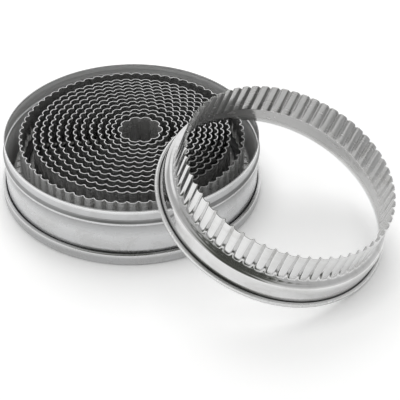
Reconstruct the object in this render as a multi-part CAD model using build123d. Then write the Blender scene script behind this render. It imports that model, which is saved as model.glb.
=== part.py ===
from build123d import *
import os
from math import cos, degrees, hypot, pi, radians, sin, tan

# Driving dimensions in millimetres.
# The set is a family of fluted round cutters that nest in a tin, each a fixed step wider than the last.
cutter_count = 14
smallest_cut_radius = 11.5
largest_cut_radius = 57.5
cutter_height = 29.8
cutter_sheet = 0.35
flute_depth = 1.55

# Flutes round each cutter: the smallest has its own count, the others gain the same number each.
smallest_flutes = 10
second_flutes = 17
added_flutes = 4

# Grip end of a cutter: a rolled bead, a plain band, and a shoulder that sweeps in under the flutes.
band_step = 3.6
bead_width = 2.4
bead_height = 2.6
band_top = 11.8
ledge_rise = 1.1
crest_clearance = 0.1
flute_fade_height = 16.6
bead_outline_shares = ((0.7, 0.0), (1.0, 0.45), (0.75, 0.9))

# Flat sides round the turned shapes.
wide_sides = 24
narrow_sides = 16
narrow_below_radius = 30.0
tin_sides = 36

# Tin: a wall with a hemmed rim and a holding bead, and a separate floor disc.
tin_sheet = 0.3
tin_play = 0.9
rim_above_edges = 1.0
hem_height = 3.0
wall_bead_drop = 6.4
wall_bead_height = 3.2
wall_bead_proud = 0.7
tin_corner_radius = 1.5
wall_flange_width = 4.0
floor_edge_play = 0.2

# Lid, lying upturned under the tin, with its raw edge rolled inward.
lid_sheet = 0.35
lid_play = 0.3
lid_roll_width = 1.8
lid_roll_height = 1.6
lid_height = 6.6
lid_corner_radius = 1.2
lid_roll_outline_shares = ((0.0, 0.6), (0.28, 0.12), (0.5, 0.0), (0.72, 0.12), (1.0, 0.6), (0.7, 1.0))

# The second widest cutter lies loose, and is a little narrower than the even steps would make it.
loose_number = cutter_count - 1
loose_narrower_by = 0.86

# Where the loose cutter leans: its distance and direction from the tin, and its gap above the rim.
loose_distance = 82.7
loose_direction_deg = -34.5
rim_gap = 0.4

# Where each nested cutter has settled, as shares of the room that it has in the next wider one.
running_gap = 0.3
settle_shares = {
    14: (0.25, 0.1),
    12: (-0.02, 0.2),
    11: (0.3, 0.85),
    10: (0.65, 0.72),
    9: (0.68, 0.68),
    8: (0.8, 0.5),
    7: (0.75, 0.6),
    6: (0.42, 0.32),
    5: (0.85, 0.38),
    4: (0.95, 0.18),
    3: (0.5, -0.65),
    2: (-0.7, 0.6),
    1: (-0.2, -0.85),
}

# Derived sizes.
size_step = (largest_cut_radius - smallest_cut_radius) / (cutter_count - 1)
corner_share = 1 - cos(radians(45))
tin_floor_top = lid_sheet + 2 * tin_sheet
edge_height = tin_floor_top + cutter_height
rim_height = edge_height + rim_above_edges
hem_radius = largest_cut_radius + band_step + bead_width + tin_play
tin_radius = hem_radius + 2 * tin_sheet
lid_radius = tin_radius + lid_play + lid_roll_width


def cut_radius(number):
    """Radius over the flute crests of one cutter, counted from the smallest."""
    stepped = smallest_cut_radius + (number - 1) * size_step
    return stepped - loose_narrower_by if number == loose_number else stepped


def flute_count(number):
    """Number of flutes round one cutter."""
    if number == 1:
        return smallest_flutes
    return second_flutes + (number - 2) * added_flutes


def side_count(number):
    """Flat sides round the grip end of one cutter."""
    if cut_radius(number) < narrow_below_radius:
        return narrow_sides
    return wide_sides


def round_row(radius, height, sides):
    """Corners of a regular polygon about the Z axis."""
    turns = [2 * pi * i / sides for i in range(sides)]
    return [Vector(radius * cos(t), radius * sin(t), height) for t in turns]


def wave_row(crest_radius, flutes, inset, height):
    """Corners of the fluted outline, moved inward by the inset at right angles to its flanks."""
    half_turn = pi / flutes
    valley_radius = crest_radius - flute_depth
    run = valley_radius * cos(half_turn) - crest_radius
    rise = valley_radius * sin(half_turn)
    normal_x = rise / hypot(run, rise)
    normal_y = -run / hypot(run, rise)
    reach = crest_radius * normal_x - inset
    inner_crest = reach / normal_x
    inner_valley = reach / (normal_x * cos(half_turn) + normal_y * sin(half_turn))
    row = []
    for i in range(flutes):
        for radius, turn in ((inner_crest, 2 * i), (inner_valley, 2 * i + 1)):
            angle = turn * half_turn
            row.append(Vector(radius * cos(angle), radius * sin(angle), height))
    return row


def flat_face(corners):
    """Flat face with the given corners."""
    return Face(Wire.make_polygon(corners, close=True))


def skin_over(rows, closed=False):
    """Solid whose flat sides join each row of corners to the next, capped or closed on itself."""
    pairs = list(zip(rows, rows[1:]))
    if closed:
        pairs.append((rows[-1], rows[0]))
    faces = []
    for low, high in pairs:
        for i in range(len(low)):
            j = (i + 1) % len(low)
            faces.append(flat_face([low[i], low[j], high[j], high[i]]))
    if not closed:
        faces.append(flat_face(rows[0]))
        faces.append(flat_face(rows[-1]))
    return Solid(Shell(faces))


def turned(outline, sides, closed=False):
    """Turned shape with flat sides from an outline of (radius, height) points."""
    return skin_over([round_row(radius, height, sides) for radius, height in outline], closed)


def cutter(number):
    """One cutter standing on its bead, with its cutting edge up, thinning to a sharp edge."""
    crest = cut_radius(number)
    valley = crest - flute_depth
    flutes = flute_count(number)
    sides = side_count(number)
    flat_reach = cos(pi / sides)
    band_inner = crest + band_step
    ledge_top = band_top + ledge_rise
    fade_radius = valley - cutter_sheet / 2

    outline = [(band_inner + w * bead_width, h * bead_height) for w, h in bead_outline_shares]
    outline.append((band_inner + cutter_sheet, bead_height))
    outline.append((band_inner + cutter_sheet, band_top))
    outline.append((crest / flat_reach + crest_clearance, ledge_top))
    outline.append((fade_radius, flute_fade_height))
    body = turned(outline, sides)
    body += skin_over([wave_row(crest, flutes, 0, z) for z in (band_top, cutter_height)])

    hollow_outline = [
        (band_inner, -bead_height),
        (band_inner, band_top - cutter_sheet),
        ((crest - cutter_sheet) / flat_reach + crest_clearance, ledge_top - cutter_sheet),
        (fade_radius - cutter_sheet, flute_fade_height),
    ]
    hollow = turned(hollow_outline, sides)
    low_wave = wave_row(crest, flutes, cutter_sheet, band_top - bead_height)
    hollow += skin_over([low_wave, wave_row(crest, flutes, 0, cutter_height)])
    return body - hollow


def settle_room(number, outer_number):
    """How far a cutter can lie off the centre of the wider one round it."""
    if outer_number is None:
        return tin_play - running_gap
    return (outer_number - number) * size_step - bead_width - running_gap


def nest_places():
    """Centre of each nested cutter, worked out from the tin inward."""
    places = {}
    x, y = 0.0, 0.0
    outer_number = None
    for number in sorted(settle_shares, reverse=True):
        room = settle_room(number, outer_number)
        x += settle_shares[number][0] * room
        y += settle_shares[number][1] * room
        places[number] = (x, y)
        outer_number = number
    return places


def leaning_height(lean, number):
    """Height of the bead's foot centre when the leaning cutter's lowest corner is on the table."""
    band_inner = cut_radius(number) + band_step
    drops = [
        (band_inner + w * bead_width) * sin(lean) - h * bead_height * cos(lean)
        for w, h in bead_outline_shares
    ]
    return max(drops)


def gap_over_rim(lean, number):
    """Least height of the leaning cutter's foot above the tin's rim where they cross."""
    foot_radius = (cut_radius(number) + band_step) * cos(pi / side_count(number))
    a = 1 / cos(lean) ** 2 - 1
    b = -2 * loose_distance / cos(lean) ** 2
    c = (loose_distance / cos(lean)) ** 2 + tin_radius ** 2 - foot_radius ** 2
    crossing = (-b - (b * b - 4 * a * c) ** 0.5) / (2 * a)
    foot_height = leaning_height(lean, number) - (crossing - loose_distance) * tan(lean)
    return foot_height - rim_height


def lean_angle(number):
    """Lean at which the loose cutter rests on the table and on the rim, by halving."""
    low, high = radians(5), radians(45)
    for _ in range(40):
        middle = (low + high) / 2
        if gap_over_rim(middle, number) < rim_gap:
            low = middle
        else:
            high = middle
    return (low + high) / 2


def loose_cutter(number):
    """The loose cutter, leaning away from the tin with its bead on the rim and on the table."""
    direction = radians(loose_direction_deg)
    lean = lean_angle(number)
    reach = (cos(direction) * loose_distance, sin(direction) * loose_distance)
    tilt = Rot(0, 0, loose_direction_deg) * Rot(0, degrees(lean), 0)
    leaning = tilt * Rot(0, 0, 180 / side_count(number)) * cutter(number)
    on_table = -leaning.bounding_box().min.Z
    return Pos(reach[0], reach[1], on_table) * leaning


def tin_wall():
    """Wall of the tin: turned-under flange, rounded foot, holding bead and hemmed rim."""
    foot = lid_sheet
    inner = tin_radius - tin_sheet
    inner_corner = tin_corner_radius - tin_sheet
    bead_middle = rim_height - wall_bead_drop
    bead_low = bead_middle - wall_bead_height / 2
    bead_high = bead_middle + wall_bead_height / 2
    flange_radius = tin_radius - tin_corner_radius - wall_flange_width
    outline = [
        (flange_radius, foot),
        (tin_radius - tin_corner_radius, foot),
        (tin_radius - corner_share * tin_corner_radius, foot + corner_share * tin_corner_radius),
        (tin_radius, foot + tin_corner_radius),
        (tin_radius, bead_low),
        (tin_radius + wall_bead_proud, bead_middle),
        (tin_radius, bead_high),
        (tin_radius, rim_height),
        (hem_radius, rim_height),
        (hem_radius, rim_height - hem_height),
        (inner, rim_height - hem_height),
        (inner, bead_high),
        (inner + wall_bead_proud, bead_middle),
        (inner, bead_low),
        (inner, foot + tin_corner_radius),
        (inner - corner_share * inner_corner, foot + tin_sheet + corner_share * inner_corner),
        (tin_radius - tin_corner_radius, foot + tin_sheet),
        (flange_radius, foot + tin_sheet),
    ]
    return turned(outline, tin_sides, closed=True)


def tin_floor():
    """Floor disc that lies on the wall's turned-under flange."""
    disc_radius = tin_radius - tin_corner_radius - floor_edge_play
    seat = lid_sheet + tin_sheet
    return turned([(disc_radius, seat), (disc_radius, seat + tin_sheet)], tin_sides)


def lid():
    """Upturned lid: flat panel, short skirt, and an edge rolled inward to hug the tin."""
    roll_foot = lid_height - lid_roll_height
    inner = lid_radius - lid_sheet
    inner_corner = lid_corner_radius - lid_sheet
    outline = [
        (lid_radius - lid_corner_radius, 0),
        (lid_radius - corner_share * lid_corner_radius, corner_share * lid_corner_radius),
        (lid_radius, lid_corner_radius),
    ]
    for inward, down in lid_roll_outline_shares:
        outline.append((lid_radius - inward * lid_roll_width, lid_height - down * lid_roll_height))
    outline.append((inner, roll_foot))
    outline.append((inner, lid_corner_radius))
    outline.append((inner - corner_share * inner_corner, lid_sheet + corner_share * inner_corner))
    outline.append((lid_radius - lid_corner_radius, lid_sheet))
    return turned(outline, tin_sides)


def save(solid, name):
    """Write one node's STEP file."""
    export_step(solid, os.path.join("parts", name + ".step"))


os.makedirs("parts", exist_ok=True)
save(lid(), "lid")
save(tin_wall(), "tin_wall")
save(tin_floor(), "tin_floor")
for cutter_number, place in nest_places().items():
    standing = Pos(place[0], place[1], tin_floor_top) * cutter(cutter_number)
    save(standing, f"cutter_{cutter_number:02d}")
save(loose_cutter(loose_number), f"cutter_{loose_number:02d}")
print("loose cutter leans by", round(degrees(lean_angle(loose_number)), 2), "degrees")
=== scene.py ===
"""Builds the looks of a tin of nested fluted biscuit cutters round its fixed CAD frame."""

import math
import random

import bpy
import numpy as np
from bpy.props import FloatProperty, FloatVectorProperty, IntProperty, PointerProperty
from mathutils import Matrix, Vector


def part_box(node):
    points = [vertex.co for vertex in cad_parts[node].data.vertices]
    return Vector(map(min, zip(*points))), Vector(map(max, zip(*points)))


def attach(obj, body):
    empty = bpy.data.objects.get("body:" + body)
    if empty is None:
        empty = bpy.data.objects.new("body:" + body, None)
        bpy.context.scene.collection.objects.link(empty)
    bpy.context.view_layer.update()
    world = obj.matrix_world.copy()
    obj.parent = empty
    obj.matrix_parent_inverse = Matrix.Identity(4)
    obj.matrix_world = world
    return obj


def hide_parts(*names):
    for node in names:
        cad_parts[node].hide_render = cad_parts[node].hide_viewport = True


bl_info = {
    "name": "Fluted biscuit cutters",
    "version": (1, 0, 0),
    "blender": (4, 5, 0),
    "location": "3D View > Sidebar > Cutters",
    "description": "Makes nested fluted cutters in a tin, its lid, a loose cutter and a studio",
    "category": "Add Mesh",
}

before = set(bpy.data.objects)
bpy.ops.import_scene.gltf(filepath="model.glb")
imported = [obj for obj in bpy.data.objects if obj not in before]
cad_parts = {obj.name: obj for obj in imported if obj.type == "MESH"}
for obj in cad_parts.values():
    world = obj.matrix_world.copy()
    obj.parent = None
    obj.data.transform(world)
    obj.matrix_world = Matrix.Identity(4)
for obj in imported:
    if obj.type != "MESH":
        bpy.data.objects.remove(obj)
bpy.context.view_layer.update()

MM = 0.001

# The cutters are counted from the smallest.
CUTTER_COUNT = 14
LOOSE_NUMBER = 13

# Places from a crest to the middle of its valley, as shares, closer together in the valley.
HALF_FLUTE = (0.0, 0.3, 0.48, 0.62, 0.73, 0.83, 0.92)
FLUTE_STEPS = 2 * len(HALF_FLUTE)
UNEVEN_DEPTH = 0.08
NARROW_GROOVES = 3.2
BROAD_GROOVES = 2.1
GROOVE_BLEND = 0.1 * MM
LOOSE_TURN = math.radians(7.5)

# Steps up the tin's holding bead: a short step, a flat face and a long upper flank. Each is
# a height and a reach, as shares of the bead's own, and the painted shade of its outside: a
# dark line at the foot and a dark upper flank, standing in for the shade and dark reflections
# there, and a little darker above.
HOLDING_BEAD = (
    (-1.0, 0.0, -0.2), (-0.96, 0.08, -0.8), (-0.9, 0.5, 0.0), (-0.84, 0.82, 0.0),
    (-0.74, 0.92, 0.0), (-0.55, 0.98, 0.0), (-0.3, 1.0, 0.0), (-0.18, 0.95, 0.0),
    (-0.06, 0.8, -0.5), (0.1, 0.55, -0.5), (0.28, 0.25, -0.5), (0.45, 0.0, -0.5),
    (0.58, -0.15, -0.5), (0.7, -0.21, -0.5), (0.82, -0.16, -0.5), (0.92, -0.05, -0.15),
    (1.0, 0.0, -0.15),
)
WALL_ROWS = (5 * MM, 9 * MM, 16 * MM)

# Radii of the rows on a flat disc: the hub, which triangles close, and one on the way out.
HUB = 1 * MM
MIDWAY = 30 * MM

# Shares of tarnish, roughness and matt film that a fully dull surface gains.
DULL_CUTTER = (0.3, 0.2, 0.5)
DULL_TIN_WALL = (0.0, 0.35, 0.85)
DULL_PLATE = (0.0, 0.35, 0.7)

# Yaw, pitch and roll of the camera in degrees, and its place in millimetres.
CAMERA_ANGLES = (2.153, 38.233, 1.214)
CAMERA_PLACE = (15.695, -527.556, 403.467)


def length(label, about, millimetres):
    """A length property, shown in the scene's unit."""
    return FloatProperty(
        name=label, description=about, default=millimetres * MM, min=0.0, precision=5,
        subtype="DISTANCE", unit="LENGTH",
    )


def share(label, about, value):
    """A plain number from 0 to 1."""
    return FloatProperty(
        name=label, description=about, default=value, min=0.0, max=1.0, subtype="FACTOR"
    )


def colour(label, about, value):
    """A linear colour."""
    return FloatVectorProperty(
        name=label, description=about, default=value, min=0.0, max=1.0, size=3, subtype="COLOR"
    )


class CutterSizes(bpy.types.PropertyGroup):
    """Sizes that all the cutters share, and the lean of the loose one."""

    smallest_crest: length("Smallest cut radius", "Over the flutes of the smallest cutter", 11.5)
    largest_crest: length("Largest cut radius", "Over the flutes of the widest cutter", 57.5)
    loose_narrower: length(
        "Loose narrower by", "How far the loose cutter falls short of its step", 0.86
    )
    height: length("Height", "From the foot of the bead to the cutting edge", 29.8)
    sheet: length("Sheet", "Thickness of the strip", 0.35)
    flute_depth: length("Flute depth", "From crest to valley", 1.45)
    band_step: length("Band step", "From the crest line out to the inside of the band", 3.6)
    bead: length("Bead", "Width of the rolled bead", 2.4)
    bead_height: length("Bead height", "Height of the rolled bead", 2.6)
    band_top: length("Band top", "Height at which the ledge starts", 11.8)
    ledge_top: length("Ledge top", "Height at which the flutes leave the ledge", 12.85)
    fade_top: length("Fade top", "Height at which the valleys reach full depth", 16.6)
    smallest_flutes: IntProperty(
        name="Flutes on the smallest", description="Flutes round the smallest cutter",
        default=10, min=6,
    )
    second_flutes: IntProperty(
        name="Flutes on the second", description="Flutes round the second cutter",
        default=17, min=6,
    )
    added_flutes: IntProperty(
        name="Flutes added", description="Flutes that each wider cutter gains", default=4, min=1,
    )
    lobe: share("Lobe", "0 for flat crests and narrow grooves, 1 for round crests", 0.15)
    lean: FloatProperty(
        name="Lean", description="Lean of the loose cutter on the rim of the tin",
        default=math.radians(19.88), subtype="ANGLE", unit="ROTATION",
    )
    lean_direction: FloatProperty(
        name="Lean direction", description="Direction in which the loose cutter leans away",
        default=math.radians(-34.5), subtype="ANGLE", unit="ROTATION",
    )
    loose_distance: length("Loose distance", "From the tin's axis to the loose cutter's foot", 82.7)


class TinSizes(bpy.types.PropertyGroup):
    """Sizes of the tin and of the lid under it."""

    radius: length("Radius", "Outside of the tin's wall", 65.0)
    sheet: length("Sheet", "Thickness of the tin's wall", 0.3)
    rim_height: length("Rim height", "Height of the rim above the table", 31.75)
    hem: length("Hem", "Depth of the hem inside the rim", 3.0)
    bead_drop: length("Bead drop", "From the rim down to the middle of the holding bead", 6.9)
    bead_height: length("Bead height", "Height of the holding bead", 3.8)
    bead_proud: length("Bead proud", "How far the holding bead stands out", 0.7)
    corner: length("Corner", "Radius of the tin's foot", 1.5)
    flange: length("Flange", "Width of the flange turned under the floor", 4.0)
    lid_radius: length("Lid radius", "Outside of the lid's skirt", 67.1)
    lid_height: length("Lid height", "Height of the lid's skirt", 6.6)
    lid_sheet: length("Lid sheet", "Thickness of the lid", 0.35)
    lid_corner: length("Lid corner", "Radius of the lid's corner", 1.2)
    lid_roll: length("Lid roll", "Width of the lid's rolled edge", 1.8)
    lid_roll_height: length("Lid roll height", "Height of the lid's rolled edge", 1.6)
    sides: IntProperty(
        name="Steps round", description="Steps round the tin and the lid", default=288, min=48
    )


class MetalFinish(bpy.types.PropertyGroup):
    """Colours and gloss of the bright metal."""

    tin: colour("Tinplate", "Clean tinplate", (0.65, 0.654, 0.662))
    # Painted shade: the lid's plate is darker than the tin's, standing in for the shade on its
    # skirt.
    lid: colour("Lid plate", "Clean tinplate of the lid, a little duller", (0.5, 0.503, 0.51))
    cutter: colour("Cutter metal", "Clean cutter strip", (0.74, 0.74, 0.74))
    tarnish: colour("Tarnish", "Dulled metal in patches", (0.44, 0.43, 0.41))
    # Besides polished edges, this colour is the painted highlight on the cutters' crests and bead,
    # the tin's inner bead and the lid's roll, and the painted light on the inside of the tin.
    bright: colour("Bright edge", "Metal rubbed bright along the edges", (0.92, 0.92, 0.92))
    # Painted shade: this dark colour darkens the creases and the underside of the cutters' bead,
    # the widest cutter's grooves, the tin's holding bead and a strip under its rim, standing in for
    # shade and dark reflections.
    painted_shade: colour("Grime", "Dirt in the crevices", (0.03, 0.03, 0.028))
    tin_roughness: share("Tinplate roughness", "Roughness of clean tinplate", 0.24)
    cutter_roughness: share("Cutter roughness", "Roughness of clean cutter strip", 0.1)
    ripple: length("Ripple", "Height of the sheet's slow unevenness", 0.02)


class StudioSettings(bpy.types.PropertyGroup):
    """Floor, light and camera."""

    floor: colour("Floor", "Colour of the floor", (0.86, 0.86, 0.86))
    lift: share("Floor lift", "Light added to the floor where the camera or the metal sees it", 0.5)
    contact: length("Contact", "Reach of the dark floor round whatever stands on it", 16.0)
    horizon: share("Horizon", "Brightness of the room near the horizon", 0.8)
    zenith: share("Zenith", "Brightness of the room overhead", 0.5)
    shade: share("Shade", "Brightness of the dark parts, overhead and behind the camera", 0.08)
    shade_tint: colour("Shade tint", "Colour of the dark parts", (0.96, 1.0, 0.88))
    back: share("Back", "Brightness of the wall behind the object", 1.0)
    panel: share("Panel", "Brightness of the pale panel overhead and behind", 1.0)
    key: FloatProperty(
        name="Key light", description="Power of the large lamp", default=3.5, min=0.0, unit="POWER"
    )
    fill: FloatProperty(
        name="Fill light", description="Power of the small lamp", default=1.6, min=0.0, unit="POWER"
    )
    lens: FloatProperty(
        name="Lens", description="Focal length of the camera in millimetres", default=113.67,
        min=10.0,
    )


class Value:
    """A socket in a node tree. Arithmetic on it adds Math nodes."""

    def __init__(self, nodes, socket):
        self.nodes = nodes
        self.socket = socket

    def math(self, operation, first, second=0.0):
        """A Math node on two numbers or sockets."""
        return self.nodes.add("ShaderNodeMath", {"operation": operation}, {0: first, 1: second})

    def __add__(self, other):
        return self.math("ADD", self, other)

    def __radd__(self, other):
        return self.math("ADD", other, self)

    def __sub__(self, other):
        return self.math("SUBTRACT", self, other)

    def __rsub__(self, other):
        return self.math("SUBTRACT", other, self)

    def __mul__(self, other):
        return self.math("MULTIPLY", self, other)

    def __rmul__(self, other):
        return self.math("MULTIPLY", other, self)

    def at_least(self, other):
        """The greater of the two."""
        return self.math("MAXIMUM", self, other)

    def size(self):
        """The value without its sign."""
        return self.math("ABSOLUTE", self)


class Nodes:
    """Adds nodes to one node tree."""

    def __init__(self, tree):
        self.tree = tree
        tree.nodes.clear()

    def add(self, kind, settings=None, inputs=None, output=0):
        """One node: its settings are set first, then the values or links of its sockets."""
        node = self.tree.nodes.new(kind)
        for name, value in (settings or {}).items():
            setattr(node, name, value)
        for name, value in (inputs or {}).items():
            if isinstance(value, Value):
                self.tree.links.new(value.socket, node.inputs[name])
            else:
                node.inputs[name].default_value = value
        return Value(self, node.outputs[output]) if node.outputs else None

    def mix(self, factor, first, second):
        """Two colours mixed."""
        return self.add(
            "ShaderNodeMix", {"data_type": "RGBA"},
            {0: factor, 6: tinted(first), 7: tinted(second)}, output=2,
        )

    def spread(self, value, low, high, new_low=0.0, new_high=1.0):
        """A value from one range eased into another."""
        return self.add(
            "ShaderNodeMapRange", {"interpolation_type": "SMOOTHSTEP", "clamp": True},
            {"Value": value, "From Min": low, "From Max": high, "To Min": new_low,
             "To Max": new_high},
        )

    def noise(self, place, detail, roughness=0.5, distortion=0.0):
        """Fractal noise at a place."""
        return self.add(
            "ShaderNodeTexNoise", {"noise_dimensions": "3D"},
            {"Vector": place, "Scale": 1.0, "Detail": detail, "Roughness": roughness,
             "Distortion": distortion},
        )

    def point(self, x, y, z):
        """A vector from three values."""
        return self.add("ShaderNodeCombineXYZ", None, {"X": x, "Y": y, "Z": z})

    def parts(self, vector):
        """The three parts of a vector."""
        first = self.add("ShaderNodeSeparateXYZ", None, {"Vector": vector})
        node = first.socket.node
        return [Value(self, socket) for socket in node.outputs]


def tinted(value):
    """A colour with its alpha, or the link as it is."""
    return value if isinstance(value, Value) else (value[0], value[1], value[2], 1.0)


def sheet_metal(name, base, roughness, finish, seed, lines, dulling=DULL_PLATE):
    """Rolled sheet with rolling lines, dull patches, finger marks, specks, polished edges, and
    painted highlights and painted shade.

    Lines is the strength of the rolling lines. The shares of dulling are the tarnish, the
    roughness and the matt film of a dull surface.
    """
    material = bpy.data.materials.new(name)
    material.use_nodes = True
    nodes = Nodes(material.node_tree)
    sheet = nodes.add("ShaderNodeAttribute", {"attribute_name": "sheet"}, output="Vector")
    along, across, wear_and_light = nodes.parts(sheet)
    rubbed_and_lit = wear_and_light.at_least(0.0)
    shaded = (0.0 - wear_and_light).at_least(0.0)
    dull = nodes.add("ShaderNodeAttribute", {"attribute_name": "dull"}, output="Fac")

    def layer(waves_along, waves_across, shift, **settings):
        """Noise with so many waves to a metre, along the sheet and across it."""
        place = nodes.point(along * waves_along, across * waves_across, seed + shift)
        return nodes.noise(place, **settings)

    rolling = layer(30.0, 5200.0, 0.0, detail=3.0)
    broad_lines = layer(12.0, 900.0, 3.0, detail=2.0)
    patches = layer(55.0, 90.0, 7.0, detail=4.0, roughness=0.6, distortion=0.6)
    marks = layer(120.0, 150.0, 11.0, detail=5.0, roughness=0.65)
    slow = layer(26.0, 60.0, 19.0, detail=1.0)
    specks = nodes.add(
        "ShaderNodeTexVoronoi", {"feature": "F1"},
        {"Vector": nodes.point(along, across, 0.0), "Scale": 420.0}, output="Distance",
    )

    dulled = nodes.spread(patches, 0.47, 0.72)
    fingered = nodes.spread(marks, 0.52, 0.68)
    speckled = 1.0 - nodes.spread(specks, 0.02, 0.10)

    tone = nodes.mix(dulled * 0.3, base, finish.tarnish[:])
    tone = nodes.mix(dull * dulling[0], tone, finish.tarnish[:])
    tone = nodes.mix(speckled * 0.35, tone, finish.tarnish[:])
    tone = nodes.mix((broad_lines - 0.5).size() * 0.5 * lines, tone, finish.tarnish[:])
    tone = nodes.mix(rubbed_and_lit, tone, finish.bright[:])
    tone = nodes.mix(shaded, tone, finish.painted_shade[:])

    rough = roughness + (rolling - 0.5) * 0.10 * lines + dulled * 0.07 + fingered * 0.07
    rough = (rough + dull * dulling[1] - rubbed_and_lit * 0.05 + shaded * 0.4).at_least(0.05)

    fine = nodes.add(
        "ShaderNodeBump", None,
        {"Strength": 1.0, "Distance": 0.0000035 * lines,
         "Height": rolling + broad_lines * 1.5 + speckled * 0.4},
    )
    normal = nodes.add(
        "ShaderNodeBump", None,
        {"Strength": 1.0, "Distance": finish.ripple, "Height": slow, "Normal": fine},
    )
    shader = nodes.add(
        "ShaderNodeBsdfPrincipled", None,
        {"Base Color": tone, "Metallic": 1.0 - dull * dulling[2], "Roughness": rough,
         "Normal": normal},
    )
    nodes.add("ShaderNodeOutputMaterial", None, {"Surface": shader})
    return material


def arc(centre, radii, start, end, steps, power=1.0):
    """Points (radius, height) along part of an ellipse in degrees, squarer for a lower power."""
    angles = [math.radians(start + (end - start) * i / steps) for i in range(steps + 1)]
    turns = [(math.cos(a), math.sin(a)) for a in angles]
    return [
        tuple(c + r * math.copysign(abs(t) ** power, t) for c, r, t in zip(centre, radii, turn))
        for turn in turns
    ]


def sweep(points, steps):
    """Points along a cubic curve with four control points."""
    made = []
    for i in range(steps + 1):
        t = i / steps
        weights = ((1 - t) ** 3, 3 * t * (1 - t) ** 2, 3 * t * t * (1 - t), t ** 3)
        made.append(tuple(sum(w * p[k] for w, p in zip(weights, points)) for k in (0, 1)))
    return made


def smooth_greatest(first, second, blend):
    """The greater of two values, rounded where they meet."""
    near = np.maximum(blend - np.abs(first - second), 0.0) / blend
    return np.maximum(first, second) + near * near * blend / 4


class Skin:
    """Rows of points round a turned or fluted shape, up its outside and down its inside."""

    def __init__(self, angles):
        self.angles = np.asarray(angles)
        self.cosines = np.cos(self.angles)
        self.sines = np.sin(self.angles)
        self.rows = []
        self.wear_and_light = []
        self.dull = []
        self.dullness = 0.0

    def row(self, radius, height, wear_and_light=0.0):
        """One row of points round the axis. The last value, up to 1, paints it bright, for polished
        metal and painted highlights; down to -1 it paints it dark as shade.
        """
        radius, height, wear_and_light = (
            np.broadcast_to(np.asarray(value, float), self.angles.shape)
            for value in (radius, height, wear_and_light)
        )
        self.rows.append(np.stack([radius * self.cosines, radius * self.sines, height], axis=1))
        self.wear_and_light.append(wear_and_light.tolist())
        self.dull.append(self.dullness)

    def outline(self, points, wear_and_light=0.0):
        """A row for each (radius, height) point."""
        for radius, height in points:
            self.row(radius, height, wear_and_light)

    def build(self, name, material, place=None, closed=True, sharp=math.radians(50)):
        """The mesh object, with its place on the flat sheet kept as an attribute."""
        count = len(self.angles)
        levels = len(self.rows)
        points = np.concatenate(self.rows)
        steps = [0.0]
        for low, high in zip(self.rows, self.rows[1:] + self.rows[:1]):
            steps.append(steps[-1] + float(np.linalg.norm(high - low, axis=1).mean()))
        reach = float(np.hypot(points[:, 0], points[:, 1]).max())
        turn = np.linspace(0.0, 2 * math.pi * reach, count + 1)

        faces = []
        laid = []
        dulled = []
        for i in range(levels if closed else levels - 1):
            j = (i + 1) % levels
            for k in range(count):
                n = (k + 1) % count
                faces.append((i * count + k, i * count + n, j * count + n, j * count + k))
                low, high = self.wear_and_light[i], self.wear_and_light[j]
                laid += [
                    (turn[k], steps[i], low[k]), (turn[k + 1], steps[i], low[n]),
                    (turn[k + 1], steps[i + 1], high[n]), (turn[k], steps[i + 1], high[k]),
                ]
                dulled += [self.dull[i], self.dull[i], self.dull[j], self.dull[j]]
        if not closed:
            for level, below in ((0, True), (levels - 1, False)):
                middle = len(points)
                centre = (0.0, 0.0, self.rows[level][0][2])
                points = np.concatenate([points, [centre]])
                for k in range(count):
                    n = (k + 1) % count
                    first, second = (n, k) if below else (k, n)
                    faces.append((middle, level * count + first, level * count + second))
                    laid += [(turn[k], steps[level], 0.0)] * 3
                    dulled += [self.dull[level]] * 3

        mesh = bpy.data.meshes.new(name)
        mesh.from_pydata(points.tolist(), [], faces)
        attribute = mesh.attributes.new("sheet", "FLOAT_VECTOR", "CORNER")
        attribute.data.foreach_set("vector", np.asarray(laid, np.float32).ravel())
        attribute = mesh.attributes.new("dull", "FLOAT", "CORNER")
        attribute.data.foreach_set("value", np.asarray(dulled, np.float32))
        mesh.polygons.foreach_set("use_smooth", [True] * len(mesh.polygons))
        if place is not None:
            mesh.transform(place)
        mesh.set_sharp_from_angle(angle=sharp)
        mesh.materials.append(material)
        mesh.update()
        if mesh.validate():
            raise RuntimeError(f"the mesh of {name} had faults")
        piece = bpy.data.objects.new(name, mesh)
        bpy.context.scene.collection.objects.link(piece)
        return piece


def even_angles(count):
    """Even steps round the axis."""
    return np.arange(count) * 2 * math.pi / count


def flute_angles(flutes):
    """Angles round one cutter, closer together in the valleys of its flutes."""
    shares = [*HALF_FLUTE, 1.0, *(2.0 - s for s in reversed(HALF_FLUTE[1:]))]
    pitch = 2 * math.pi / flutes
    return np.array([(i + s / 2) * pitch for i in range(flutes) for s in shares])


def flute_radii(sizes, crest, flutes, angles, unevenness, narrowness):
    """Outside and inside radius of the fluted wall at each angle, with narrow grooves or broad."""
    pitch = 2 * math.pi / flutes
    from_crest = np.abs((angles / pitch + 0.5) % 1.0 - 0.5) * 2
    grooved = (1 - np.cos(math.pi * from_crest ** narrowness)) / 2
    lobed = 1 - np.cos(math.pi * from_crest / 2)
    fall = (1 - sizes.lobe) * grooved + sizes.lobe * lobed
    outside = crest - sizes.flute_depth * fall * unevenness
    slope = (np.roll(outside, -1) - np.roll(outside, 1)) / (
        (np.roll(angles, -1) - np.roll(angles, 1)) % (2 * math.pi)
    )
    return outside, outside - sizes.sheet * np.sqrt(1 + (slope / outside) ** 2)


def cutter_radius(sizes, number):
    """Radius over the crests of one cutter, counted from the smallest."""
    step = (sizes.largest_crest - sizes.smallest_crest) / (CUTTER_COUNT - 1)
    short = sizes.loose_narrower if number == LOOSE_NUMBER else 0.0
    return sizes.smallest_crest + (number - 1) * step - short


def flute_total(sizes, number):
    """Flutes round one cutter."""
    if number == 1:
        return sizes.smallest_flutes
    return sizes.second_flutes + (number - 2) * sizes.added_flutes


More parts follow.
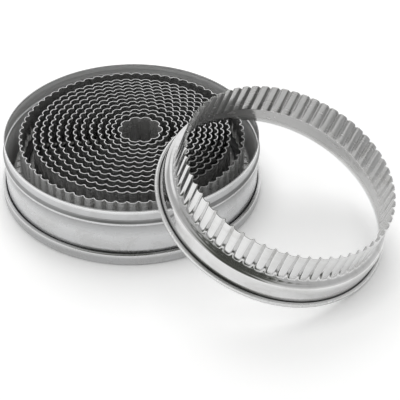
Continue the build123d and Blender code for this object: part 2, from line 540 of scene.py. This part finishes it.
def make_cutter(context, number, place):
    """One cutter: rolled bead, plain band, rounded shoulder, and flutes that fade into a ledge."""
    sizes = context.scene.cutter_sizes
    finish = context.scene.metal_finish
    loose, widest = number == LOOSE_NUMBER, number == CUTTER_COUNT
    crest = cutter_radius(sizes, number)
    flutes = flute_total(sizes, number)
    angles = flute_angles(flutes)
    chance = random.Random(number)
    depths = [1 - UNEVEN_DEPTH * chance.random() for _ in range(flutes)]
    per_flute = np.repeat(depths, FLUTE_STEPS)
    unevenness = (per_flute + np.roll(per_flute, FLUTE_STEPS // 2)) / 2
    narrowness = NARROW_GROOVES if loose else BROAD_GROOVES
    outside, inside = flute_radii(sizes, crest, flutes, angles, unevenness, narrowness)
    wander = chance.random() * 6
    oval = 0.05 * MM * np.cos(2 * angles + wander) + 0.03 * MM * np.cos(5 * angles + 2 * wander)

    sheet = sizes.sheet
    band = crest + sizes.band_step
    face = band + sheet + oval
    valley = crest - sizes.flute_depth
    curl, rise = sizes.bead / 2, sizes.bead_height / 2
    top = sizes.height
    bend = (crest + 1.7 * MM, sizes.ledge_top - 0.3 * MM)
    shoulder = sweep([
        (band + sheet, sizes.band_top - 3.4 * MM), (band + sheet, sizes.band_top - 0.9 * MM),
        (band + sheet - 0.5 * MM, sizes.band_top + 0.35 * MM), bend,
    ], steps=7)[:-1]
    ledge = sweep([
        bend, (crest + 0.1 * MM, sizes.ledge_top + 0.05 * MM),
        (valley - 0.1 * MM, sizes.ledge_top + 0.4 * MM), (valley - 0.25 * MM, sizes.fade_top),
    ], steps=12)
    edge = 0.03 * MM
    drops_and_wear = (
        (top - sizes.fade_top - 1.2 * MM, 0.0), (5 * MM, 0.0), (0.4 * MM, 0.0), (0.18 * MM, 0.6),
        (edge, 1.0),
    )
    outer_dullness = 0.0 if loose else 0.8 if widest else 0.25
    inner_dullness = 0.6 if loose or number == 1 else 0.25
    band_wear = 0.3 if widest else 0.0
    # Painted light on the flutes: the widest cutter's crests are painted bright and its grooves
    # dark, standing in for highlights and shade, and the loose cutter's crests a little bright as
    # highlights.
    crested = 1 - (crest - outside) / sizes.flute_depth
    rubbed_and_lit = 0.2 * crested if loose else 1.7 * crested - 0.8 if widest else 0.0

    # Up the outside, from the seam behind the bead, painted dark as shade in the crease, to the
    # bright cutting edge.
    skin = Skin(angles)
    skin.dullness = outer_dullness
    skin.row(face, 1.5 * rise, -1.0)
    skin.row(face, 2.1 * rise, -0.4)
    for height in (3.1 * MM, 5.0 * MM, 7.0 * MM):
        skin.row(face, height, band_wear)
    for radius, height in shoulder:
        skin.row(radius + oval, height, band_wear)
    for radius, height in ledge:
        skin.row(smooth_greatest(radius + oval, outside, GROOVE_BLEND), height, rubbed_and_lit)
    for drop, wear_and_light in drops_and_wear:
        skin.row(outside, top - drop, np.maximum(wear_and_light, rubbed_and_lit))
    skin.row(outside - edge, top, 1.0)

    # Down the inside.
    skin.row(inside + edge, top, 1.0)
    skin.dullness = inner_dullness
    for drop, wear_and_light in reversed(drops_and_wear):
        skin.row(inside, top - drop, wear_and_light)
    for radius, height in reversed(ledge):
        lowered = smooth_greatest(radius + oval - sheet, inside, GROOVE_BLEND)
        skin.row(lowered, height - sheet * (height < sizes.ledge_top + sheet))
    for radius, height in reversed(shoulder):
        skin.row(radius + oval - sheet, height - 0.5 * sheet)
    for height in (7.0 * MM, 5.0 * MM, 3.2 * MM):
        skin.row(band + oval, height)

    # Round the bead, whose outer half is dull and painted bright as a highlight, with painted
    # shadow along its underside, and in against the band, where the crease is painted dark as
    # shade.
    for radius, height in arc((curl, rise), (curl, rise), 180, 440, steps=20, power=0.75):
        outer = radius > curl
        skin.dullness = float(outer)
        bead_wear_and_light = -0.6 if outer and height < 0.7 * rise else skin.dullness
        skin.row(band + oval + radius, height, bead_wear_and_light)
    skin.dullness = 0.0
    for out, up, wear_and_light in ((0.72, 1.9, 0.0), (0.48, 1.72, -0.5), (0.34, 1.5, -1.0)):
        skin.row(band + oval + out * curl, up * rise, wear_and_light)

    metal = bpy.data.materials.get("cutter_metal") or sheet_metal(
        "cutter_metal", finish.cutter[:], finish.cutter_roughness, finish, seed=2.0, lines=1.0,
        dulling=DULL_CUTTER,
    )
    node = f"cutter_{number:02d}"
    piece = skin.build(f"{node}_metal", metal, place, sharp=math.radians(34))
    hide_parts(node)
    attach(piece, node)


def loose_place(sizes):
    """Where the loose cutter leans: its foot on the table and its bead on the rim."""
    band = cutter_radius(sizes, LOOSE_NUMBER) + sizes.band_step
    curl = sizes.bead / 2
    lean, direction, reach = sizes.lean, sizes.lean_direction, sizes.loose_distance
    drop = (band + curl) * math.sin(lean) - curl * math.cos(lean) + curl
    spot = Vector((reach * math.cos(direction), reach * math.sin(direction), drop))
    tilt = Matrix.Rotation(direction, 4, "Z") @ Matrix.Rotation(lean, 4, "Y")
    return Matrix.Translation(spot) @ tilt @ Matrix.Rotation(LOOSE_TURN, 4, "Z")


class CUTTERS_OT_nest(bpy.types.Operator):
    """Make the thirteen cutters that stand nested in the tin"""

    bl_idname = "cutters.nest"
    bl_label = "Nested cutters"

    def execute(self, context):
        for number in [n for n in range(1, CUTTER_COUNT + 1) if n != LOOSE_NUMBER]:
            low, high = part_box(f"cutter_{number:02d}")
            spot = Vector(((low.x + high.x) / 2, (low.y + high.y) / 2, low.z))
            make_cutter(context, number, Matrix.Translation(spot))
        return {"FINISHED"}


class CUTTERS_OT_loose(bpy.types.Operator):
    """Make the loose cutter that leans on the rim"""

    bl_idname = "cutters.loose"
    bl_label = "Loose cutter"

    def execute(self, context):
        make_cutter(context, LOOSE_NUMBER, loose_place(context.scene.cutter_sizes))
        return {"FINISHED"}


class CUTTERS_OT_tin_wall(bpy.types.Operator):
    """Make the tin's wall with its hemmed rim, holding bead and turned-under flange"""

    bl_idname = "cutters.tin_wall"
    bl_label = "Tin wall"

    def execute(self, context):
        sizes = context.scene.tin_sizes
        finish = context.scene.metal_finish
        radius, sheet, rim = sizes.radius, sizes.sheet, sizes.rim_height
        foot, corner = sizes.lid_sheet, sizes.corner
        inner = radius - sheet
        hem = inner - sheet
        hem_foot = rim - sizes.hem
        below_rim = rim - 2 * MM
        middle = rim - sizes.bead_drop
        reach = sizes.bead_height / 2
        heel = radius - corner
        flat = heel - 1.5 * MM
        flange = heel - sizes.flange
        turn = corner - sheet

        skin = Skin(even_angles(sizes.sides))
        skin.outline([(flange, foot), (flat, foot)])
        skin.outline(arc((heel, foot + corner), (corner, corner), 270, 360, steps=6))
        skin.outline([(radius, height) for height in WALL_ROWS])
        for up, out, wear_and_light in HOLDING_BEAD:
            skin.row(radius + out * sizes.bead_proud, middle + up * reach, wear_and_light)
        # Painted a little darker just under the rim.
        skin.row(radius, below_rim, -0.15)
        skin.outline(arc((inner, rim - sheet), (sheet, sheet), 0, 180, steps=8), wear_and_light=0.6)
        skin.dullness = 0.9
        # Painted light: the hem and the inside of the wall are painted lighter, standing in for
        # light in the shaded tin.
        skin.outline([(hem, below_rim), (hem, hem_foot + 0.15 * MM)], wear_and_light=0.7)
        skin.outline([(hem + 0.08 * MM, hem_foot), (inner - 0.02 * MM, hem_foot)])
        skin.dullness = 0.3
        # Painted highlight: the inner bead is painted bright as a line of light.
        for up, out, _ in reversed(HOLDING_BEAD):
            skin.row(inner + out * sizes.bead_proud, middle + up * reach, 1.0)
        skin.dullness = 0.9
        skin.outline([(inner, height) for height in reversed(WALL_ROWS)], wear_and_light=0.7)
        skin.outline(arc((heel, foot + corner), (turn, turn), 360, 270, steps=5))
        skin.outline([(flat, foot + sheet), (flange, foot + sheet)])
        metal = sheet_metal(
            "tin_wall_metal", finish.tin[:], finish.tin_roughness, finish, seed=5.0, lines=0.7,
            dulling=DULL_TIN_WALL,
        )
        piece = skin.build("tin_wall_metal", metal)
        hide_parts("tin_wall")
        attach(piece, "tin")
        return {"FINISHED"}


class CUTTERS_OT_tin_floor(bpy.types.Operator):
    """Make the tin's floor disc with its pressed rings"""

    bl_idname = "cutters.tin_floor"
    bl_label = "Tin floor"

    def execute(self, context):
        sizes = context.scene.tin_sizes
        finish = context.scene.metal_finish
        low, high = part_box("tin_floor")
        edge = (high.x - low.x) / 2 - 0.04 * MM
        bevel = 0.1 * MM
        top, pressed = high.z, high.z - 0.1 * MM
        outer_ring = [
            (62.4 * MM, top), (62.0 * MM, pressed), (61.4 * MM, pressed), (61.0 * MM, top)
        ]
        inner_ring = [(8.6 * MM, top), (8.0 * MM, pressed), (6.8 * MM, pressed), (6.2 * MM, top)]

        skin = Skin(even_angles(sizes.sides))
        skin.outline([(HUB, low.z), (MIDWAY, low.z), (edge - bevel, low.z)])
        skin.outline([(edge, low.z + bevel), (edge, high.z - bevel)], wear_and_light=0.4)
        skin.dullness = 0.4
        skin.outline([(edge - bevel, top), *outer_ring, (MIDWAY, top), *inner_ring, (HUB, top)])
        metal = sheet_metal(
            "tin_floor_metal", finish.tin[:], roughness=0.3, finish=finish, seed=9.0, lines=0.8
        )
        piece = skin.build("tin_floor_metal", metal, closed=False)
        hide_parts("tin_floor")
        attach(piece, "tin")
        return {"FINISHED"}


class CUTTERS_OT_lid(bpy.types.Operator):
    """Make the upturned lid with its rolled edge and raised panel"""

    bl_idname = "cutters.lid"
    bl_label = "Lid"

    def execute(self, context):
        sizes = context.scene.tin_sizes
        finish = context.scene.metal_finish
        radius, sheet, top = sizes.lid_radius, sizes.lid_sheet, sizes.lid_height
        inner = radius - sheet
        corner = sizes.lid_corner
        turn = corner - sheet
        heel = radius - corner
        flat = heel - 1.5 * MM
        corner_top = 2.6 * MM
        roll = (sizes.lid_roll / 2, sizes.lid_roll_height / 2)
        roll_centre = (radius - roll[0], top - roll[1])
        panel, rise, ease = 55.0 * MM, 0.2 * MM, 0.03 * MM

        skin = Skin(even_angles(sizes.sides))
        skin.outline([(HUB, rise), (MIDWAY, rise), (panel - 1.2 * MM, rise)])
        skin.outline([(panel - 0.8 * MM, rise - ease), (panel - 0.2 * MM, ease)], wear_and_light=0.2)
        skin.outline([(panel + 0.2 * MM, 0.0), (flat, 0.0)])
        skin.outline(arc((heel, corner), (corner, corner), 270, 360, steps=6), wear_and_light=0.15)
        skin.outline([(radius, corner_top), (radius, top - 2.4 * MM)])
        # The rolled edge is painted lighter, partly as polish and partly as a painted highlight
        # along the lip.
        skin.outline(arc(roll_centre, roll, 0, 312, steps=16), wear_and_light=0.45)
        skin.dullness = 0.5
        skin.outline([(inner, top - 1.9 * MM), (inner, corner_top)])
        skin.outline(arc((heel, corner), (turn, turn), 360, 270, steps=5))
        skin.outline([(flat, sheet), (panel + 0.2 * MM, sheet), (panel - 0.2 * MM, sheet + ease)])
        skin.outline([
            (panel - 0.8 * MM, sheet + rise - ease), (panel - 1.2 * MM, sheet + rise),
            (MIDWAY, sheet + rise), (HUB, sheet + rise),
        ])
        metal = sheet_metal(
            "lid_metal", finish.lid[:], finish.tin_roughness, finish, seed=14.0, lines=0.8
        )
        piece = skin.build("lid_metal", metal, closed=False)
        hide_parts("lid")
        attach(piece, "lid")
        return {"FINISHED"}


class CUTTERS_OT_studio(bpy.types.Operator):
    """Make the pale floor, the soft light and the camera"""

    bl_idname = "cutters.studio"
    bl_label = "Studio"

    def execute(self, context):
        settings = context.scene.studio_settings
        self.floor(settings)
        self.room(context, settings)
        self.lamps(settings)
        self.camera(context, settings)
        context.scene.view_settings.view_transform = "Standard"
        return {"FINISHED"}

    def floor(self, settings):
        """A wide floor that keeps the object's shadow and shows white."""
        half = 3.0
        gap = 0.05 * MM
        corners = [(-half, -half, 0.0), (half, -half, 0.0), (half, half, 0.0), (-half, half, 0.0)]
        mesh = bpy.data.meshes.new("floor")
        mesh.from_pydata(corners, [], [(0, 1, 2, 3)])
        floor = bpy.data.objects.new("floor", mesh)
        floor.location.z = -gap
        bpy.context.scene.collection.objects.link(floor)
        material = bpy.data.materials.new("floor")
        material.use_nodes = True
        nodes = Nodes(material.node_tree)
        path = nodes.add("ShaderNodeLightPath", output="Is Camera Ray")
        outputs = path.socket.node.outputs
        seen = path.at_least(Value(nodes, outputs["Is Glossy Ray"]))
        seen = seen.at_least(Value(nodes, outputs["Is Transmission Ray"]))
        matt = nodes.add("ShaderNodeBsdfDiffuse", None, {"Color": tinted(settings.floor[:])})
        open_sky = nodes.add(
            "ShaderNodeAmbientOcclusion", {"samples": 4}, {"Distance": settings.contact},
            output="AO",
        )
        lift = seen * open_sky * settings.lift
        glow = nodes.add("ShaderNodeEmission", None, {"Color": lift, "Strength": 1.0})
        surface = nodes.add("ShaderNodeAddShader", None, {0: matt, 1: glow})
        nodes.add("ShaderNodeOutputMaterial", None, {"Surface": surface})
        mesh.materials.append(material)

    def room(self, context, settings):
        """Pale room with a white wall and panel behind, dark overhead and behind the camera.

        Each region eases in over a range of the direction: x to the right, y away, z up.
        """
        world = bpy.data.worlds.new("room")
        context.scene.world = world
        world.use_nodes = True
        nodes = Nodes(world.node_tree)
        direction = nodes.add("ShaderNodeTexCoord", output="Generated")
        x, y, z = nodes.parts(direction)
        level = nodes.spread(z, 0.15, 0.7, settings.horizon, settings.zenith)
        back = nodes.spread(y, 0.5, 0.65) * nodes.spread(z, 0.8, 0.7)
        level = level + (settings.back - level) * back
        front = nodes.spread(0.0 - y, 0.1, 0.6) * nodes.spread(z, 0.05, 0.22)
        front = front * nodes.spread(0.0 - x, 0.8, 0.5) * nodes.spread(x, 0.26, 0.12)
        overhead = nodes.spread(z, 0.6, 0.75) * nodes.spread(x - y * 0.35, -0.02, 0.1)
        overhead = overhead * nodes.spread(x, 0.55, 0.44) * nodes.spread(y, -0.65, -0.4)
        dark = front.at_least(overhead)
        level = level + (settings.shade - level) * dark
        panel = nodes.spread((x - 0.08).size(), 0.14, 0.08)
        panel = panel * nodes.spread((y - 0.55).size(), 0.24, 0.16) * nodes.spread(z, 0.3, 0.5)
        level = level + (settings.panel - level) * panel
        tint = nodes.mix(dark, (1.0, 1.0, 1.0), settings.shade_tint[:])
        white = nodes.add(
            "ShaderNodeVectorMath", {"operation": "SCALE"}, {"Vector": tint, "Scale": level}
        )
        background = nodes.add("ShaderNodeBackground", None, {"Color": white, "Strength": 1.0})
        nodes.add("ShaderNodeOutputWorld", None, {"Surface": background})

    def lamps(self, settings):
        """A large lamp behind and above, and a smaller one from the left."""
        self.lamp(
            "key_lamp", settings.key, size=0.7, spot=(-0.15, 0.8, 0.9), aim=(0.02, -0.02, 0.0)
        )
        self.lamp(
            "fill_lamp", settings.fill, size=0.6, spot=(-0.95, -0.25, 0.55), aim=(0.0, 0.0, 0.02)
        )

    def lamp(self, name, power, size, spot, aim):
        """One square soft lamp turned to its aim."""
        light = bpy.data.lights.new(name, "AREA")
        light.energy = power
        light.size = size
        lamp = bpy.data.objects.new(name, light)
        lamp.visible_glossy = False
        lamp.location = spot
        lamp.rotation_mode = "QUATERNION"
        lamp.rotation_quaternion = (Vector(aim) - Vector(spot)).to_track_quat("-Z", "Y")
        bpy.context.scene.collection.objects.link(lamp)

    def camera(self, context, settings):
        """The camera at the photograph's viewing angle."""
        yaw, pitch, roll = [math.radians(angle) for angle in CAMERA_ANGLES]
        forward = Vector((
            math.sin(yaw) * math.cos(pitch), math.cos(yaw) * math.cos(pitch), -math.sin(pitch)
        ))
        right = Vector((math.cos(yaw), -math.sin(yaw), 0.0))
        up = right.cross(forward)
        level = Matrix((right, up, -forward)).transposed()
        camera = bpy.data.cameras.new("camera")
        camera.lens = settings.lens
        camera.sensor_width = 36.0
        camera.clip_start = 0.01
        holder = bpy.data.objects.new("camera", camera)
        turn = (level @ Matrix.Rotation(roll, 3, "Z")).to_4x4()
        spot = Vector([distance * MM for distance in CAMERA_PLACE])
        holder.matrix_world = Matrix.Translation(spot) @ turn
        bpy.context.scene.collection.objects.link(holder)
        context.scene.camera = holder


OPERATORS = (
    CUTTERS_OT_lid, CUTTERS_OT_tin_wall, CUTTERS_OT_tin_floor, CUTTERS_OT_nest,
    CUTTERS_OT_loose, CUTTERS_OT_studio,
)
GROUPS = (
    ("cutter_sizes", CutterSizes), ("tin_sizes", TinSizes), ("metal_finish", MetalFinish),
    ("studio_settings", StudioSettings),
)


class CUTTERS_PT_side(bpy.types.Panel):
    """Buttons and sizes of the cutter set"""

    bl_idname = "CUTTERS_PT_side"
    bl_label = "Biscuit cutters"
    bl_space_type = "VIEW_3D"
    bl_region_type = "UI"
    bl_category = "Cutters"

    def draw(self, context):
        column = self.layout.column()
        for operator in OPERATORS:
            column.operator(operator.bl_idname)
        for attribute, group in GROUPS:
            box = self.layout.box()
            box.label(text=group.__name__)
            settings = getattr(context.scene, attribute)
            for name in group.__annotations__:
                box.prop(settings, name)


def register():
    """Registers the classes and hangs the settings on the scene."""
    for name, group in GROUPS:
        bpy.utils.register_class(group)
        setattr(bpy.types.Scene, name, PointerProperty(type=group))
    for operator in OPERATORS:
        bpy.utils.register_class(operator)
    bpy.utils.register_class(CUTTERS_PT_side)


def unregister():
    """Takes the classes and the settings away again."""
    bpy.utils.unregister_class(CUTTERS_PT_side)
    for operator in reversed(OPERATORS):
        bpy.utils.unregister_class(operator)
    for name, group in reversed(GROUPS):
        delattr(bpy.types.Scene, name)
        bpy.utils.unregister_class(group)


def main():
    """Makes every piece in order."""
    register()
    bpy.ops.cutters.studio()
    bpy.ops.cutters.lid()
    bpy.ops.cutters.tin_wall()
    bpy.ops.cutters.tin_floor()
    bpy.ops.cutters.nest()
    bpy.ops.cutters.loose()


if __name__ == "__main__":
    main()
